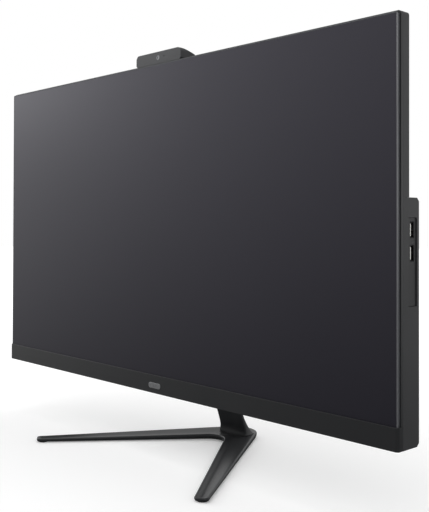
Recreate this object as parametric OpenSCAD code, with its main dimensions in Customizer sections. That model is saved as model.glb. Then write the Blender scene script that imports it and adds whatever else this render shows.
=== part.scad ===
// All-in-one desktop computer on a V-shaped desk stand.
// +X is to the right of a person facing the screen, the screen faces -Y, and +Z is up.
// The origin is on the desk, under the middle of the stand's footprint.

/* [Display] */
// Width of the display case
case_w = 613; // [520:1:740]
// Height of the display case, chin included
case_h = 365.5; // [340:0.5:450]
// Height of the plain bar under the screen
chin_h = 20; // [14:0.5:26]
// How far the chin stands in front of the screen
chin_proud = 1.8; // [0.6:0.1:3]
// Width of the dark lip around the screen panel
lip_w = 1.4; // [1:0.1:3]
// Width of the panel's pale moulded rim
rim_w = 1; // [0.8:0.1:2]
// Depth of the thin upper part, from the screen to its back
upper_depth = 15; // [13:0.5:20]
// Depth of the lower part, which holds the computer
lower_depth = 30; // [29:0.5:38]
// Height of the lower part
lower_h = 210; // [206:1:236]
// Radius of the case's corners
corner_r = 3; // [2:0.5:6]
// Wall thickness of the moulded covers
wall = 2; // [1.6:0.1:2.6]

/* [Stand] */
// Depth of the stand's footprint
base_depth = 219; // [190:1:280]
// Distance between the centres of the two leg tips
tip_spread = 271; // [230:1:330]
// Width of the leg tips
tip_d = 14.6; // [12:0.2:18]
// Radius of the leg tips' corners
tip_corner_r = 4; // [3:0.5:5.5]
// Radius of the rounded heel behind the neck
heel_r = 24.8; // [22:0.2:28]
// Radius of the crotch between the legs
crotch_r = 18; // [12:0.5:24]
// Distance from the heel's back to the crotch's back
heel_to_crotch = 53; // [50:1:64]
// Thickness of the cast base under the neck
base_t = 6.3; // [5:0.1:10]
// Thickness of the cast base at the leg tips
tip_t = 3.6; // [3:0.1:5]
// How far the rubber feet lift the base
foot_t = 1.2; // [0.8:0.1:3]
// Width of the neck plate
neck_w = 40; // [34:1:48]
// Front-to-back thickness of the neck plate
neck_t = 5.2; // [4:0.1:7]
// Height of the display case's lower edge above the desk
display_lift = 70.4; // [55:0.2:100]
// Distance from the leg tips' front back to the screen
screen_setback = 66; // [56:1:100]
// Height of the tilt axis above the case's lower edge
axis_rise = 150; // [140:1:156]

/* [Camera] */
// Width of the pop-up camera head
cam_w = 75.2; // [60:0.2:90]
// Height of the camera head
cam_h = 13.2; // [11:0.1:16]
// Depth of the camera head
cam_depth = 21.6; // [18:0.1:22]
// Gap under the raised camera head
cam_gap = 0.8; // [0.5:0.1:2]

/* [Ports] */
// Depth of the round audio socket
audio_len = 13; // [10:0.5:14]
// Radius of the round audio socket
audio_r = 1.8; // [1.78:0.01:1.85]

/* [Hidden] */
$fn = 48;

// Depths of the layers behind the screen, from its front face
cell_t = 1.4;
tray_front = 4;
tray_t = 0.8;
lip_front = 2.9;
ledge_front = tray_front + tray_t;
chassis_front = 5.8;
chassis_t = 1;
board_front = 10;
board_t = 1.6;
board_back = board_front + board_t;

// ---- Places shared by several pieces ----
screen_y = -base_depth / 2 + screen_setback;
case_z = display_lift;
case_top = display_lift + case_h;
chin_top = case_z + chin_h;
lower_top = case_z + lower_h;
lower_back = screen_y + lower_depth;
seam_y = screen_y + chassis_front;
inner_w = case_w - 2 * wall;
clearance = 0.3;
tight = 0.1;
flange = 1.5;
flange_t = 0.8;

panel_w = case_w - 2 * lip_w - 2 * tight;
panel_top = case_top - lip_w - tight;
panel_bottom = case_z + 14;
cell_w = panel_w - 2 * rim_w;
cell_top = panel_top - rim_w;

// Tilt hinge
axis_z = case_z + axis_rise;
axis_gap = 14;
axis_y = lower_back + axis_gap;
pin_r = 4;
pin_fit = 0.05;
barrel_r = 8;
yoke_w = 55;
ear_t = 6;
ear_gap = 0.8;
ear_in = yoke_w / 2 + ear_gap;
ear_out = ear_in + ear_t;
bracket_w = 100;
bracket_h = 64;
bracket_t = 3;
bracket_screw_x = 42;
bracket_screw_z = 24;

// Stand outline
base_z = foot_t;
base_top = base_z + base_t;
heel_y = base_depth / 2 - heel_r;
tip_r = tip_d / 2;
tip_x = tip_spread / 2;
tip_y = -base_depth / 2 + tip_r;
crotch_y = base_depth / 2 - heel_to_crotch - crotch_r;
neck_foot_y = heel_y - 4;
neck_foot_back = 14;
neck_top_z = axis_z - barrel_r - 4;
neck_head_y = axis_y - neck_t / 2;
neck_slope = (neck_head_y - neck_foot_y) / (axis_z - base_top);

// Camera bay in the top edge
cam_x = -5;
cam_front = 5.4;
cam_back = cam_front + cam_depth;
cam_travel = cam_h + cam_gap - 0.4;
cam_z = case_top + cam_gap;
slot_gap = 0.5;
bay_w = cam_w + 2 * slot_gap + 2 * wall + 14;
bay_h = 64;
bay_back = max(lower_depth, cam_back + slot_gap + wall);
stem_w = 52;
stem_h = 44;

// Side sockets, counted from the case's lower edge
side_plate_z = case_z + 118.4;
side_plate_h = 74.8;
side_plate_front = 13.8;
side_plate_depth = 13;
side_recess = 1;
usb_z = [case_z + 163.1, case_z + 182.8];
usb_mid = 20.9;
usb_open_w = 5.9;
usb_open_h = 13.8;
usb_shell_w = 5.7;
usb_shell_h = 13.1;
usb_shell_t = 0.35;
usb_len = 14;
tongue_t = 1.9;
tongue_w = 10.6;

// Rear sockets
port_plate_x = -188;
port_plate_w = 124;
port_plate_h = 20;
port_plate_z = case_z + 26;
port_recess = 4;
port_plate_t = 0.8;
port_mid_z = port_plate_z + port_plate_h / 2;
port_face = lower_depth - port_recess;
power_x = port_plate_x + 10;
video_x = port_plate_x + 30;
network_x = port_plate_x + 52;
rear_usb_x = [port_plate_x + 74, port_plate_x + 93];
audio_x = port_plate_x + 111;
video_w = 15;
video_h = 5.6;
network_w = 15.5;
network_h = 13.2;
network_open_w = 11.8;
network_open_h = 8;
network_open_len = 11;
power_r = 3.6;
rear_usb_len = port_face - port_plate_t - tight - board_back;

// Main board and what sits on it
board_x = -205;
board_w = 142;
board_z = case_z + 24;
board_h = 150;
standoff_r = 2.5;
cpu_x = -135;
cpu_z = case_z + 118;
cpu_size = 30;
plate_size = 44;
fan_x = -258;
fan_z = case_z + 148;
fan_size = 76;
fan_front = chassis_front + chassis_t;
fan_depth = 16;
rotor_r = 33;
rotor_gap = 1.5;
hub_r = 14;
fan_wall = 1.5;
fan_axle_r = 2;
fin_x = -286;
fin_w = 64;
fin_z = lower_top - wall - 17;
fin_h = 13;
pipe_r = 3;

drive_w = 100;
drive_h = 70;
drive_t = 7;
drive_x = 84;
drive_z = case_z + 60;
speaker_x = 225;
speaker_w = 74;
button_x = 276;
button_d = 12;
button_w = 14;
button_t = 5;
button_travel = 0.8;

// ---- Small helpers ----

// A plate standing in the XZ plane, centred on X, its front at y = 0, with rounded corners.
module slab(w, h, t, r = 0) {
    translate([0, t, 0]) rotate([90, 0, 0]) linear_extrude(t) rounded(w, h, r);
}

// A rectangle centred on X and standing on the X axis, with corner radius r.
module rounded(w, h, r = 0) {
    if (r <= 0) translate([-w / 2, 0]) square([w, h]);
    else union() {
        translate([-w / 2, r]) square([w, h - 2 * r]);
        translate([-w / 2 + r, 0]) square([w - 2 * r, h]);
        for (x = [-w / 2 + r, w / 2 - r], z = [r, h - r]) translate([x, z]) circle(r);
    }
}

// A box from depth d0 to d1 behind the screen, from x0 to x1 and from z0 to z1.
module block(x0, x1, d0, d1, z0, z1) {
    translate([x0, screen_y + d0, z0]) cube([x1 - x0, d1 - d0, z1 - z0]);
}

// A round bar along Y, from depth d0 to d1 behind the screen.
module bar_y(x, z, r, d0, d1) {
    translate([x, screen_y + d0, z]) rotate([-90, 0, 0]) cylinder(h = d1 - d0, r = r);
}

// An outline drawn in Y and Z, extruded along X and centred.
module side_profile(points, w) {
    translate([-w / 2, 0, 0]) rotate([90, 0, 90]) linear_extrude(w) polygon(points);
}

// A pan-head screw along Y: the head is at y = 0 and the shank runs towards -Y.
module screw_y(x, y, z, r, len, head_r = 3, head_h = 1.6) {
    translate([x, y, z]) rotate([90, 0, 0]) difference() {
        union() {
            translate([0, 0, -head_h / 2]) cylinder(h = len + head_h / 2, r = r, $fn = 24);
            translate([0, 0, -head_h]) cylinder(h = head_h, r = head_r, $fn = 24);
        }
        translate([0, 0, -head_h - 0.1]) cylinder(h = head_h * 0.7, r = head_r * 0.45, $fn = 6);
    }
}

// ---- Stand ----

heel_c = [0, heel_y];
tip_c = [tip_x, tip_y];
crotch_c = [0, crotch_y];

// Points on a circle from angle a0 to angle a1.
function arc(c, r, a0, a1, steps = 12) =
    [for (i = [0 : steps]) c + r * [cos(a0 + (a1 - a0) * i / steps), sin(a0 + (a1 - a0) * i / steps)]];

// Directions in which the leg's straight outer and inner edges face.
outer_turn = acos((heel_r - tip_r) / norm(tip_c - heel_c));
outer_facing = atan2(tip_y - heel_y, tip_x) + outer_turn;
inner_turn = acos((tip_r + crotch_r) / norm(crotch_c - tip_c));
inner_facing = atan2(crotch_y - tip_y, -tip_x) + inner_turn;

// The leg's own direction, and the centre of the tip's corner next to the edge that faces that way.
leg_facing = atan2(tip_y - heel_y, tip_x);
function tip_corner(facing) =
    let (k = tip_r - tip_corner_r, det = cos(facing) * sin(leg_facing) - sin(facing) * cos(leg_facing))
    tip_c + k / det * [sin(leg_facing) - sin(facing), cos(facing) - cos(leg_facing)];

// The right half of the V: half the heel, the outer edge, the tip, the inner edge and half the crotch.
half_outline = concat(
    arc(heel_c, heel_r, 90, outer_facing),
    arc(tip_corner(outer_facing), tip_corner_r, outer_facing, leg_facing),
    arc(tip_corner(inner_facing), tip_corner_r, leg_facing, inner_facing - 360),
    arc(crotch_c, crotch_r, inner_facing - 180, 90));

// The whole V seen from above.
module base_outline() {
    last = len(half_outline) - 1;
    polygon(concat(half_outline, [for (i = [last - 1 : -1 : 1]) [-half_outline[i][0],
        half_outline[i][1]]]));
}

foot_places = [[tip_x, tip_y], [-tip_x, tip_y], [0, heel_y]];
foot_r = [5, 5, 14];
foot_sink = 0.4;
base_screw_x = 12;
base_screw_y = neck_foot_y + neck_foot_back / 2;
base_screw_r = 2;
base_screw_len = 12;
base_screw_head_r = 3.7;
head_hole_r = 4;
head_sink = 2;

module base_screw_places() {
    for (s = [-1, 1]) translate([s * base_screw_x, base_screw_y, 0]) children();
}

module stand_base() {
    color("#2b2c2f") difference() {
        intersection() {
            translate([0, 0, base_z]) linear_extrude(base_t) base_outline();
            side_profile([
                [-base_depth / 2 - 1, base_z - 1], [base_depth / 2 + 1, base_z - 1],
                [base_depth / 2 + 1, base_top], [neck_foot_y - 2, base_top],
                [tip_y, base_z + tip_t], [-base_depth / 2 - 1, base_z + tip_t]], 2 * tip_spread);
        }
        for (i = [0 : 2]) translate([foot_places[i][0], foot_places[i][1], base_z - 1])
            cylinder(h = foot_sink + 1, r = foot_r[i] + tight);
        base_screw_places() {
            translate([0, 0, base_z - 1]) cylinder(h = base_t + 2, r = base_screw_r + tight);
            translate([0, 0, base_z - 1]) cylinder(h = 1 + foot_sink + head_sink, r = head_hole_r);
        }
    }
}

module rubber_feet() {
    color("#151515") for (i = [0 : 2])
        translate([foot_places[i][0], foot_places[i][1], 0]) difference() {
            cylinder(h = base_z + foot_sink, r = foot_r[i]);
            if (i == 2) for (s = [-1, 1])
                translate([s * base_screw_x, base_screw_y - heel_y, -1])
                    cylinder(h = 5, r = head_hole_r + 0.3);
        }
}

module base_screws() {
    color("#8c8d90") base_screw_places() {
        translate([0, 0, base_z + foot_sink]) difference() {
            cylinder(h = head_sink, r = base_screw_head_r, $fn = 32);
            translate([0, 0, -0.1]) cylinder(h = 1.3, r = 1.5, $fn = 6);
        }
        translate([0, 0, base_z + foot_sink]) cylinder(h = base_screw_len, r = base_screw_r, $fn = 24);
    }
}

// Front face of the neck at height z.
function neck_y(z) = neck_foot_y + (z - base_top) * neck_slope;

yoke_screw_z = [neck_top_z - 26, neck_top_z - 10];
yoke_screw_x = 13;
yoke_screw_r = 1.5;
yoke_t = 4.8;
yoke_drop = 34;
flare_h = 30;

module neck_profile() {
    flare = [for (a = [0 : 15 : 75])
        let (back = neck_foot_back - (neck_foot_back - neck_t) * sin(a), up = flare_h * (1 - cos(a)))
        [neck_foot_y + back + up * neck_slope, base_top + up]];
    polygon(concat(
        [[neck_foot_y, base_top]],
        flare,
        [[neck_y(base_top + flare_h) + neck_t, base_top + flare_h],
         [neck_y(neck_top_z) + neck_t, neck_top_z],
         [neck_y(neck_top_z), neck_top_z]]));
}

module stand_neck() {
    color("#2b2c2f") difference() {
        translate([-neck_w / 2, 0, 0]) rotate([90, 0, 90]) linear_extrude(neck_w) neck_profile();
        base_screw_places() translate([0, 0, base_top - 1]) cylinder(h = 9, r = base_screw_r);
        for (z = yoke_screw_z, s = [-1, 1]) translate([s * yoke_screw_x, neck_y(z) - 10, z])
            rotate([-90, 0, 0]) cylinder(h = 20, r = yoke_screw_r);
    }
}

module hinge_yoke() {
    low = neck_top_z - yoke_drop;
    color("#3a3b3e") difference() {
        union() {
            translate([-yoke_w / 2, axis_y, axis_z]) rotate([0, 90, 0]) cylinder(h = yoke_w, r = barrel_r);
            side_profile([
                [neck_y(low) + neck_t, low],
                [neck_y(low) + neck_t + yoke_t, low],
                [axis_y + barrel_r, neck_top_z + 4],
                [axis_y + barrel_r, axis_z],
                [axis_y, axis_z],
                [axis_y - neck_t, neck_top_z + 0.4],
                [neck_y(neck_top_z) + neck_t, neck_top_z + 0.4]], neck_w - 4);
        }
        translate([-yoke_w, axis_y, axis_z]) rotate([0, 90, 0]) cylinder(h = 2 * yoke_w,
            r = pin_r + pin_fit);
        for (z = yoke_screw_z, s = [-1, 1]) translate([s * yoke_screw_x, neck_y(z), z])
            rotate([-90, 0, 0]) cylinder(h = 30, r = yoke_screw_r + tight);
    }
}

module yoke_screws() {
    color("#8c8d90") for (z = yoke_screw_z, s = [-1, 1])
        screw_y(s * yoke_screw_x, neck_y(z) + neck_t + yoke_t + 1.2, z, yoke_screw_r, 9.5, 2.8);
}

// ---- Tilt hinge on the display ----

washer_r = 7;
washer_t = 1.5;
hinge_screw_r = 2;

module bracket_screw_places() {
    for (sx = [-1, 1], sz = [-1, 1])
        translate([sx * bracket_screw_x, 0, axis_z + sz * bracket_screw_z]) children();
}

module hinge_bracket() {
    color("#4a4b4e") difference() {
        union() {
            translate([0, lower_back - bracket_t, axis_z - bracket_h / 2])
                slab(bracket_w, bracket_h, bracket_t, 4);
            for (s = [-1, 1]) translate([s * (ear_in + ear_out) / 2, 0, 0]) {
                translate([-ear_t / 2, axis_y, axis_z]) rotate([0, 90, 0]) cylinder(h = ear_t,
                    r = barrel_r);
                translate([-ear_t / 2, lower_back - bracket_t / 2, axis_z - barrel_r - 4])
                    cube([ear_t, axis_gap + bracket_t / 2, 2 * barrel_r + 4]);
            }
        }
        translate([-ear_out - 1, axis_y, axis_z]) rotate([0, 90, 0]) cylinder(h = 2 * ear_out + 2,
            r = pin_r);
        bracket_screw_places() translate([0, lower_back - 5, 0]) rotate([-90, 0, 0])
            cylinder(h = 10, r = hinge_screw_r + tight);
    }
}

module hinge_pin() {
    over = 3;
    color("#9a9b9e") translate([-ear_out - over, axis_y, axis_z]) rotate([0, 90, 0])
        cylinder(h = 2 * (ear_out + over), r = pin_r);
}

module friction_washers() {
    color("#77787b") for (s = [-1, 1]) translate([s * (ear_out + 0.05), axis_y, axis_z])
        rotate([0, s * 90, 0]) difference() {
            cylinder(h = washer_t, r = washer_r);
            translate([0, 0, -1]) cylinder(h = 4, r = pin_r);
        }
}

module hinge_screws() {
    color("#8c8d90") bracket_screw_places() screw_y(0, lower_back, 0, hinge_screw_r,
        lower_depth - chassis_front - 2, 3.6);
}

// ---- Screen ----

cell_front = 0.2;
cell_back = cell_front + cell_t;
rim_ledge = 1;
led_bar_w = 4;

module lcd_cell() {
    color("#3c3a40") block(-cell_w / 2, cell_w / 2, cell_front, cell_back,
        panel_bottom + rim_ledge, cell_top);
}

module panel_rim() {
    color("#7a7b7e") translate([0, screen_y, panel_bottom]) difference() {
        slab(panel_w, panel_top - panel_bottom, tray_front + tray_t, 2);
        translate([0, -1, rim_ledge])
            slab(cell_w, cell_top - panel_bottom - rim_ledge, tray_front + tray_t + 2);
    }
}

module light_guide() {
    color("#e8e9ea") block(-cell_w / 2 + 0.4, cell_w / 2 - 0.4, cell_back, tray_front,
        panel_bottom + rim_ledge + led_bar_w + 1, cell_top - 0.4);
}

module led_bar() {
    color("#dfe0c8") block(-cell_w / 2 + 3, cell_w / 2 - 3, cell_back, tray_front,
        panel_bottom + rim_ledge + 0.5, panel_bottom + rim_ledge + 0.5 + led_bar_w);
}

module panel_tray() {
    color("#9b9c9f") block(-cell_w / 2 + tight, cell_w / 2 - tight, tray_front, tray_front + tray_t,
        panel_bottom + rim_ledge + tight, cell_top - tight);
}

timing_board_w = 140;
timing_board_h = 16;
timing_board_z = case_z + 42;

module timing_board() {
    d0 = tray_front + tray_t;
    color("#1f5a36") block(-timing_board_w / 2, timing_board_w / 2, d0, d0 + 1, timing_board_z,
        timing_board_z + timing_board_h);
}

// ---- Case ----

module mid_frame() {
    chin_gap = 0.2;
    tab_w = inner_w - 2 * chin_gap;
    color("#3c3d40") difference() {
        union() {
            difference() {
                translate([0, screen_y + lip_front, chin_top - 3 * corner_r])
                    slab(case_w, case_top - chin_top + 3 * corner_r, seam_y - screen_y - lip_front,
                        corner_r);
                block(-case_w, case_w, -1, 40, chin_top - 4 * corner_r, chin_top + chin_gap);
            }
            block(-tab_w / 2, tab_w / 2, ledge_front, seam_y - screen_y, case_z + wall + chin_gap,
                chin_top + 1);
        }
        translate([0, screen_y + lip_front - 1, case_z])
            slab(panel_w + 2 * tight, panel_top + tight - case_z, ledge_front - lip_front + 1, 2);
        block(-case_w / 2 + 12, case_w / 2 - 12, 0, 10, chin_top + 14, case_top - 10);
        block(cam_x - cam_w / 2 - slot_gap, cam_x + cam_w / 2 + slot_gap, ledge_front, 10,
            case_top - 20, case_top + 1);
    }
}

module chin_bezel() {
    back = seam_y - screen_y;
    front_y = screen_y - chin_proud;
    color("#37383b") difference() {
        translate([0, 0, case_z]) linear_extrude(chin_h) union() {
            translate([-case_w / 2 + corner_r, front_y]) square([case_w - 2 * corner_r, back + chin_proud]);
            translate([-case_w / 2, front_y + corner_r]) square([case_w, back + chin_proud - corner_r]);
            for (s = [-1, 1]) translate([s * (case_w / 2 - corner_r), front_y + corner_r]) circle(corner_r);
        }
        block(-panel_w / 2 - tight, panel_w / 2 + tight, -tight, back + 1, case_z + wall, chin_top + 1);
    }
}

module chin_badge() {
    badge_w = 20;
    badge_h = 6;
    badge_t = 0.4;
    color("#b9babd") translate([0, screen_y - chin_proud - badge_t, case_z + 5.5])
        slab(badge_w, badge_h, badge_t, badge_h / 2 - 0.1);
}

// The thin upper shell, with the bay that holds the camera.
module upper_cover() {
    d0 = seam_y - screen_y;
    top_in = case_top - wall;
    color("#2f3033") difference() {
        union() {
            difference() {
                translate([0, seam_y, lower_top - 3 * corner_r])
                    slab(case_w, case_top - lower_top + 3 * corner_r, upper_depth - d0, corner_r);
                block(-case_w, case_w, -1, 60, lower_top - 4 * corner_r, lower_top + tight);
            }
            translate([cam_x, screen_y + upper_depth - wall, case_top - bay_h])
                slab(bay_w, bay_h, bay_back - upper_depth + wall, corner_r);
        }
        block(-inner_w / 2, inner_w / 2, d0 - 1, upper_depth - wall, lower_top - 1, top_in);
        block(cam_x - bay_w / 2 + wall, cam_x + bay_w / 2 - wall, upper_depth - wall - 1, bay_back - wall,
            case_top - bay_h + wall, top_in);
        block(cam_x - cam_w / 2 - slot_gap, cam_x + cam_w / 2 + slot_gap, d0 - 1, cam_back + slot_gap,
            top_in - 1, case_top + 1);
    }
}

cover_sink = 1;
cover_screw_r = 1.5;
cover_head_r = 3;
cover_boss_r = 3.6;
speaker_slot_w = 1.8;
lock_x = -281.5;
lock_z = case_z + 41.5;
lock_w = 7;
lock_h = 3;
vent_pitch = 4;
vent_slot = 1.8;
exhaust_w = 200;
exhaust_x = 190;
exhaust_depth = 7.5;
exhaust_d = upper_depth + 1.5;
intake_w = 150;
intake_h = 46;
intake_x = -214;
intake_z = case_z + 128;

// The lower shell: five walls, open towards the screen and where the upper part joins it.
module cover_shell() {
    d0 = seam_y - screen_y;
    bevel = 2;
    difference() {
        translate([0, 0, case_z]) side_profile([
            [seam_y, 0], [lower_back - corner_r, 0], [lower_back, corner_r],
            [lower_back, lower_h - corner_r], [lower_back - corner_r, lower_h], [seam_y, lower_h]], case_w);
        translate([0, 0, case_z + wall]) side_profile([
            [seam_y - 1, 0], [lower_back - wall - bevel, 0], [lower_back - wall, bevel],
            [lower_back - wall, lower_h - 2 * wall - bevel], [lower_back - wall - bevel,
                lower_h - 2 * wall],
            [seam_y - 1, lower_h - 2 * wall]], inner_w);
        block(-inner_w / 2, inner_w / 2, d0 - 1, upper_depth - wall, lower_top - wall - 1, lower_top + 1);
    }
}

module rear_cover() {
    color("#303134") difference() {
        union() {
            cover_shell();
            block(port_plate_x - wall, port_plate_x + port_plate_w + wall, port_face,
                lower_depth - wall / 2,
                port_plate_z - wall, port_plate_z + port_plate_h + wall);
        }

        // hinge bracket
        translate([0, lower_back - 10, axis_z - bracket_h / 2 - clearance])
            slab(bracket_w + 2 * clearance, bracket_h + 2 * clearance, 20, 4);
        // exhaust and intake grilles
        for (s = [-1, 1]) block(s * exhaust_x - exhaust_w / 2, s * exhaust_x + exhaust_w / 2,
            exhaust_d, exhaust_d + exhaust_depth, lower_top - wall - 1, lower_top + 1);
        for (s = [-1, 1]) block(s * intake_x - intake_w / 2, s * intake_x + intake_w / 2,
            lower_depth - wall - 1, lower_depth + 1, intake_z - intake_h / 2, intake_z + intake_h / 2);
        // side socket plate
        block(case_w / 2 - wall - 1, case_w / 2 + 1, side_plate_front, side_plate_front + side_plate_depth,
            side_plate_z, side_plate_z + side_plate_h);
        // rear socket plate
        block(port_plate_x, port_plate_x + port_plate_w, port_face - 1, lower_depth + 1,
            port_plate_z, port_plate_z + port_plate_h);
        // speaker slots and power button in the lower wall
        for (s = [-1, 1], i = [-8 : 8])
            block(s * speaker_x + i * vent_pitch - speaker_slot_w / 2,
                s * speaker_x + i * vent_pitch + speaker_slot_w / 2, 12, 22,
                case_z - 1, case_z + 3);
        translate([button_x, screen_y + button_d, case_z - 1])
            pill(button_w + 2 * clearance, button_t + 2 * clearance, wall + 2);
        // lock slot
        lock_slot(lower_depth - 5, lower_depth + 1);
        // screw holes
        cover_screw_places() rotate([90, 0, 0]) {
            translate([0, 0, -1]) cylinder(h = wall + 3, r = cover_screw_r + tight, $fn = 24);
            translate([0, 0, -1]) cylinder(h = 1 + cover_sink, r = cover_head_r + 0.4, $fn = 24);
        }
    }
}

// The opening for a cable lock, from depth d0 to d1 behind the screen.
module lock_slot(d0, d1) {
    block(lock_x - lock_w / 2, lock_x + lock_w / 2, d0, d1, lock_z - lock_h / 2, lock_z + lock_h / 2);
}

// A bar with round ends, flat on the XY plane and centred.
module pill(w, t, h) {
    linear_extrude(h) union() {
        square([w - t, t], center = true);
        for (s = [-1, 1]) translate([s * (w - t) / 2, 0]) circle(t / 2);
    }
}

module cover_screw_places() {
    for (x = [-case_w / 2 + 14, -case_w / 6, case_w / 6, case_w / 2 - 14],
        z = [case_z + 12, lower_top - 14])
        translate([x, lower_back, z]) children();
}

module cover_screws() {
    color("#6f7073") cover_screw_places() screw_y(0, -cover_sink, 0, cover_screw_r, 8, cover_head_r,
        0.9);
}

module exhaust_grille() {
    w = exhaust_w - 2 * tight;
    count = floor(w / vent_pitch / 2) - 1;
    color("#26272a") for (s = [-1, 1]) difference() {
        union() {
            block(s * exhaust_x - w / 2, s * exhaust_x + w / 2, exhaust_d + tight,
                exhaust_d + exhaust_depth - tight,
                lower_top - wall - flange_t, lower_top - 0.3);
            block(s * exhaust_x - w / 2 - flange, s * exhaust_x + w / 2 + flange,
                exhaust_d - flange / 2, exhaust_d + exhaust_depth + flange / 2,
                lower_top - wall - flange_t, lower_top - wall);
        }
        for (i = [-count : count])
            block(s * exhaust_x + i * vent_pitch - vent_slot / 2,
                s * exhaust_x + i * vent_pitch + vent_slot / 2,
                exhaust_d + 1.2, exhaust_d + exhaust_depth - 1.2, lower_top - wall - 2, lower_top + 1);
    }
}

module intake_grille() {
    w = intake_w - 2 * tight;
    h = intake_h - 2 * tight;
    count = floor(w / vent_pitch / 2) - 1;
    rows = 3;
    row_h = (h - 4) / rows;
    low = intake_z - h / 2 + 2;
    color("#26272a") for (s = [-1, 1]) difference() {
        union() {
            block(s * intake_x - w / 2, s * intake_x + w / 2, lower_depth - wall - flange_t,
                lower_depth - 0.4,
                intake_z - h / 2, intake_z + h / 2);
            block(s * intake_x - w / 2 - flange, s * intake_x + w / 2 + flange,
                lower_depth - wall - flange_t, lower_depth - wall,
                intake_z - h / 2 - flange, intake_z + h / 2 + flange);
        }
        for (i = [-count : count], k = [0 : rows - 1])
            block(s * intake_x + i * vent_pitch - vent_slot / 2,
                s * intake_x + i * vent_pitch + vent_slot / 2,
                lower_depth - wall - 2, lower_depth + 1, low + k * row_h + 1, low + (k + 1) * row_h - 1);
    }
}

// ---- Sockets ----

module side_port_plate() {
    x0 = case_w / 2 - wall;
    d0 = side_plate_front;
    d1 = side_plate_front + side_plate_depth;
    z1 = side_plate_z + side_plate_h;
    color("#2a2b2e") difference() {
        union() {
            block(x0 - flange_t, case_w / 2 - side_recess, d0 + tight, d1 - tight,
                side_plate_z + tight, z1 - tight);
            block(x0 - flange_t, x0, d0 - flange, d1 + flange / 2, side_plate_z - flange, z1 + flange);
        }
        for (z = usb_z) block(x0 - 3, x0 + 3, usb_mid - usb_open_w / 2, usb_mid + usb_open_w / 2,
            z - usb_open_h / 2, z + usb_open_h / 2);
    }
}

// A square-mouthed metal socket shell with its mouth at +Z, w across X and h across Y.
module usb_shell(len) {
    in_w = usb_shell_h - 2 * usb_shell_t;
    in_h = usb_shell_w - 2 * usb_shell_t;
    difference() {
        translate([-usb_shell_h / 2, -usb_shell_w / 2, -len]) cube([usb_shell_h, usb_shell_w, len]);
        translate([-in_w / 2, -in_h / 2, -len + 1]) cube([in_w, in_h, len]);
    }
}

module usb_tongue(len) {
    in_h = usb_shell_w - 2 * usb_shell_t;
    translate([-tongue_w / 2, in_h / 2 - tongue_t - 0.9, -len + 1]) cube([tongue_w, tongue_t, len - 2.2]);
}

module side_usb_places() {
    for (z = usb_z) translate([case_w / 2 - side_recess - 0.2, screen_y + usb_mid, z])
        rotate([0, 90, 0]) rotate([0, 0, 180]) children();
}

module side_usb_shells() {
    color("#a9aaad") side_usb_places() usb_shell(usb_len);
}

module side_usb_tongues() {
    color("#e9e9e6") side_usb_places() usb_tongue(usb_len);
}

module side_usb_board() {
    x1 = case_w / 2 - wall - 2;
    color("#1f5a36") block(x1 - 30, x1, usb_mid + usb_shell_w / 2, usb_mid + usb_shell_w / 2 + 1.2,
        usb_z[0] - 14, usb_z[1] + 8);
}

module rear_places(xs) {
    for (x = xs) translate([x, screen_y + port_face - port_plate_t - tight, port_mid_z])
        rotate([-90, 0, 0]) children();
}

module rear_port_plate() {
    gap = 0.2;
    color("#8f9093") difference() {
        block(port_plate_x - flange, port_plate_x + port_plate_w + flange, port_face - port_plate_t,
            port_face,
            port_plate_z - flange, port_plate_z + port_plate_h + flange);
        for (x = rear_usb_x) block(x - usb_open_h / 2, x + usb_open_h / 2, port_face - 3, port_face + 1,
            port_mid_z - usb_open_w / 2, port_mid_z + usb_open_w / 2);
        block(network_x - network_w / 2, network_x + network_w / 2, port_face - 3, port_face + 1,
            port_mid_z - network_h / 2, port_mid_z + network_h / 2);
        block(video_x - video_w / 2 - gap, video_x + video_w / 2 + gap, port_face - 3, port_face + 1,
            port_mid_z - video_h / 2 - gap, port_mid_z + video_h / 2 + gap);
        bar_y(power_x, port_mid_z, power_r + gap, port_face - 3, port_face + 1);
        bar_y(audio_x, port_mid_z, audio_body_r + gap, port_face - 3, port_face + 1);
    }
}

module rear_usb_shells() {
    color("#a9aaad") rear_places(rear_usb_x) usb_shell(rear_usb_len);
}

module rear_usb_tongues() {
    color("#1c1c1e") rear_places(rear_usb_x) usb_tongue(rear_usb_len);
}

module network_socket() {
    w = network_w - 0.4;
    h = network_h - 0.4;
    color("#9b9c9f") difference() {
        block(network_x - w / 2, network_x + w / 2, board_back, port_face - 0.2, port_mid_z - h / 2,
            port_mid_z + h / 2);
        block(network_x - network_open_w / 2, network_x + network_open_w / 2,
            port_face - network_open_len, port_face + 1,
            port_mid_z - network_open_h / 2, port_mid_z + network_open_h / 2);
        block(network_x - 3, network_x + 3, port_face - network_open_len, port_face + 1,
            port_mid_z, port_mid_z + network_open_h / 2 + 1.6);
    }
}

module video_socket() {
    color("#a9aaad") difference() {
        block(video_x - video_w / 2, video_x + video_w / 2, board_back, port_face - 0.2,
            port_mid_z - video_h / 2, port_mid_z + video_h / 2);
        difference() {
            block(video_x - video_w / 2 + 0.5, video_x + video_w / 2 - 0.5, port_face - 9, port_face + 1,
                port_mid_z - video_h / 2 + 0.5, port_mid_z + video_h / 2 - 0.5);
            block(video_x - 6, video_x + 6, port_face - 10, port_face - 2, port_mid_z - 0.6,
                port_mid_z + 0.8);
        }
    }
}

power_bore_r = 2.6;
power_pin_r = 0.4;

module power_socket() {
    color("#1b1b1d") {
        difference() {
            union() {
                bar_y(power_x, port_mid_z, power_r, port_face - 4, port_face - 0.2);
                block(power_x - 5, power_x + 5, board_back, port_face - 1.2, port_mid_z - 5,
                    port_mid_z + 5);
            }
            difference() {
                bar_y(power_x, port_mid_z, power_bore_r, port_face - 10, port_face + 1);
                bar_y(power_x, port_mid_z, power_pin_r, port_face - 11, port_face - 2);
            }
        }
    }
}

audio_body_r = 3;

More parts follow.
